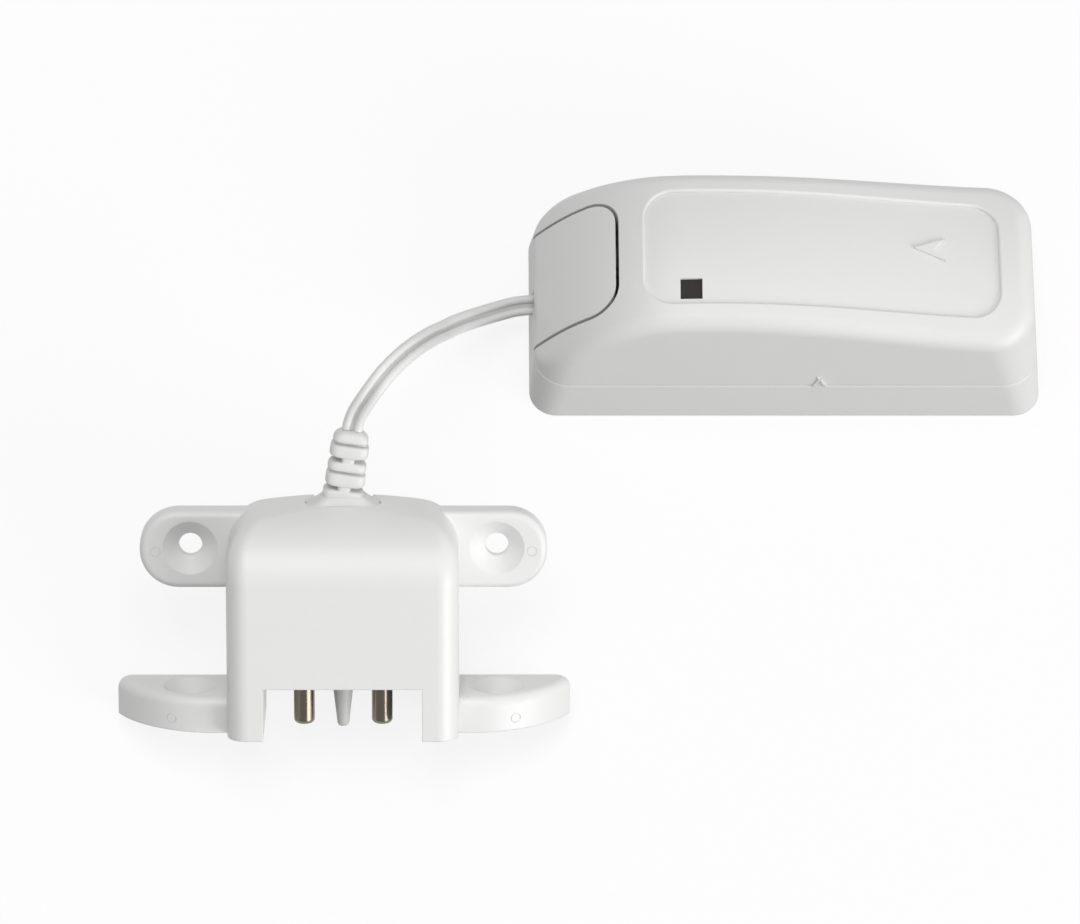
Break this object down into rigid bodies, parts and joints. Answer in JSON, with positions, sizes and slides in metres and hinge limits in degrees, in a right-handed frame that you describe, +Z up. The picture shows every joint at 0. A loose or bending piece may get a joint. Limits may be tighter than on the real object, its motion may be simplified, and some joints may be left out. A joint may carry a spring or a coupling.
{
  "type": "water leak detector",
  "caption": "Low radio transmitter case joined by a short lead to a floor-level water probe with metal pins and screw tabs.",
  "frame": {"origin": "centre of the underside of the transmitter's base, where it lies on the surface", "axes": "+Z up out of the transmitter's top, +X along the transmitter away from the lead, +Y away from the probe"},
  "size_m": [0.1446, 0.0967, 0.0417],
  "materials": {
    "case_plastic": "fine moulded satin, warm grey-white",
    "probe_plastic": "fine moulded satin, white",
    "carrier_plastic": "moulded satin, white",
    "relief_plastic": "soft moulded plastic, white",
    "lead_jacket": "smooth insulation, white",
    "smoke_window": "dark tinted light pipe",
    "led_lens": "red tinted lens",
    "board_laminate": "green solder mask",
    "steel": "zinc-plated steel",
    "nickel": "nickel plate",
    "battery_sleeve": "plain shrink sleeve",
    "terminal_plastic": "green terminal body",
    "black_plastic": "black moulded plastic",
    "button_plastic": "light grey plastic",
    "copper_wire": "bare copper wire",
    "tie_plastic": "natural nylon"
  },
  "bodies": {
    "case": {"base_tray": "case_plastic", "circuit_board": "board_laminate", "board_screws": "steel", "battery_contacts": "nickel", "terminal_block": "terminal_plastic", "terminal_screws": "steel", "enrol_switch": "black_plastic", "tamper_switch": "black_plastic", "radio_shield": "nickel", "microcontroller": "black_plastic", "antenna": "copper_wire", "indicator_led": "led_lens", "lead_tails": "lead_jacket", "lead_tie": "tie_plastic", "signal_lead": "lead_jacket", "probe_housing": "probe_plastic", "probe_back": "probe_plastic", "electrode_carrier": "carrier_plastic", "electrode_pins": "nickel", "probe_wires": "lead_jacket", "strain_relief": "relief_plastic"},
    "cover": {"top_cover": "case_plastic", "indicator_window": "smoke_window"},
    "end_cover": {"end_cover": "case_plastic"},
    "cover_screw": {"cover_screw": "steel"},
    "battery": {"battery": "battery_sleeve"},
    "enrol_button": {"enrol_button": "button_plastic"},
    "tamper_plunger": {"tamper_plunger": "button_plastic"}
  },
  "joints": [
    {"name": "cover_lift", "type": "slide", "parent": "case", "child": "cover", "axis": [0, 0, 1], "range_m": [0, 0.03]},
    {"name": "end_cover_lift", "type": "slide", "parent": "cover", "child": "end_cover", "axis": [0, 0, 1], "range_m": [0, 0.02]},
    {"name": "cover_screw_turn", "type": "hinge", "parent": "cover", "child": "cover_screw", "pos_m": [-0.0304, 0.006, 0.012], "axis": [0, 0, 1], "continuous": true},
    {"name": "battery_lift", "type": "slide", "parent": "case", "child": "battery", "axis": [0, 0, 1], "range_m": [0, 0.012]},
    {"name": "enrol_press", "type": "slide", "parent": "case", "child": "enrol_button", "axis": [0, 0, -1], "range_m": [0, 0.0005], "stiffness_N_per_m": 500},
    {"name": "tamper_rise", "type": "slide", "parent": "case", "child": "tamper_plunger", "axis": [0, 0, 1], "range_m": [0, 0.0012]}
  ],
  "couplings": [
    {"joint": "battery_lift", "follows": "cover_lift", "ratio": 0.4},
    {"joint": "tamper_rise", "follows": "cover_lift", "ratio": 0.04}
  ]
}
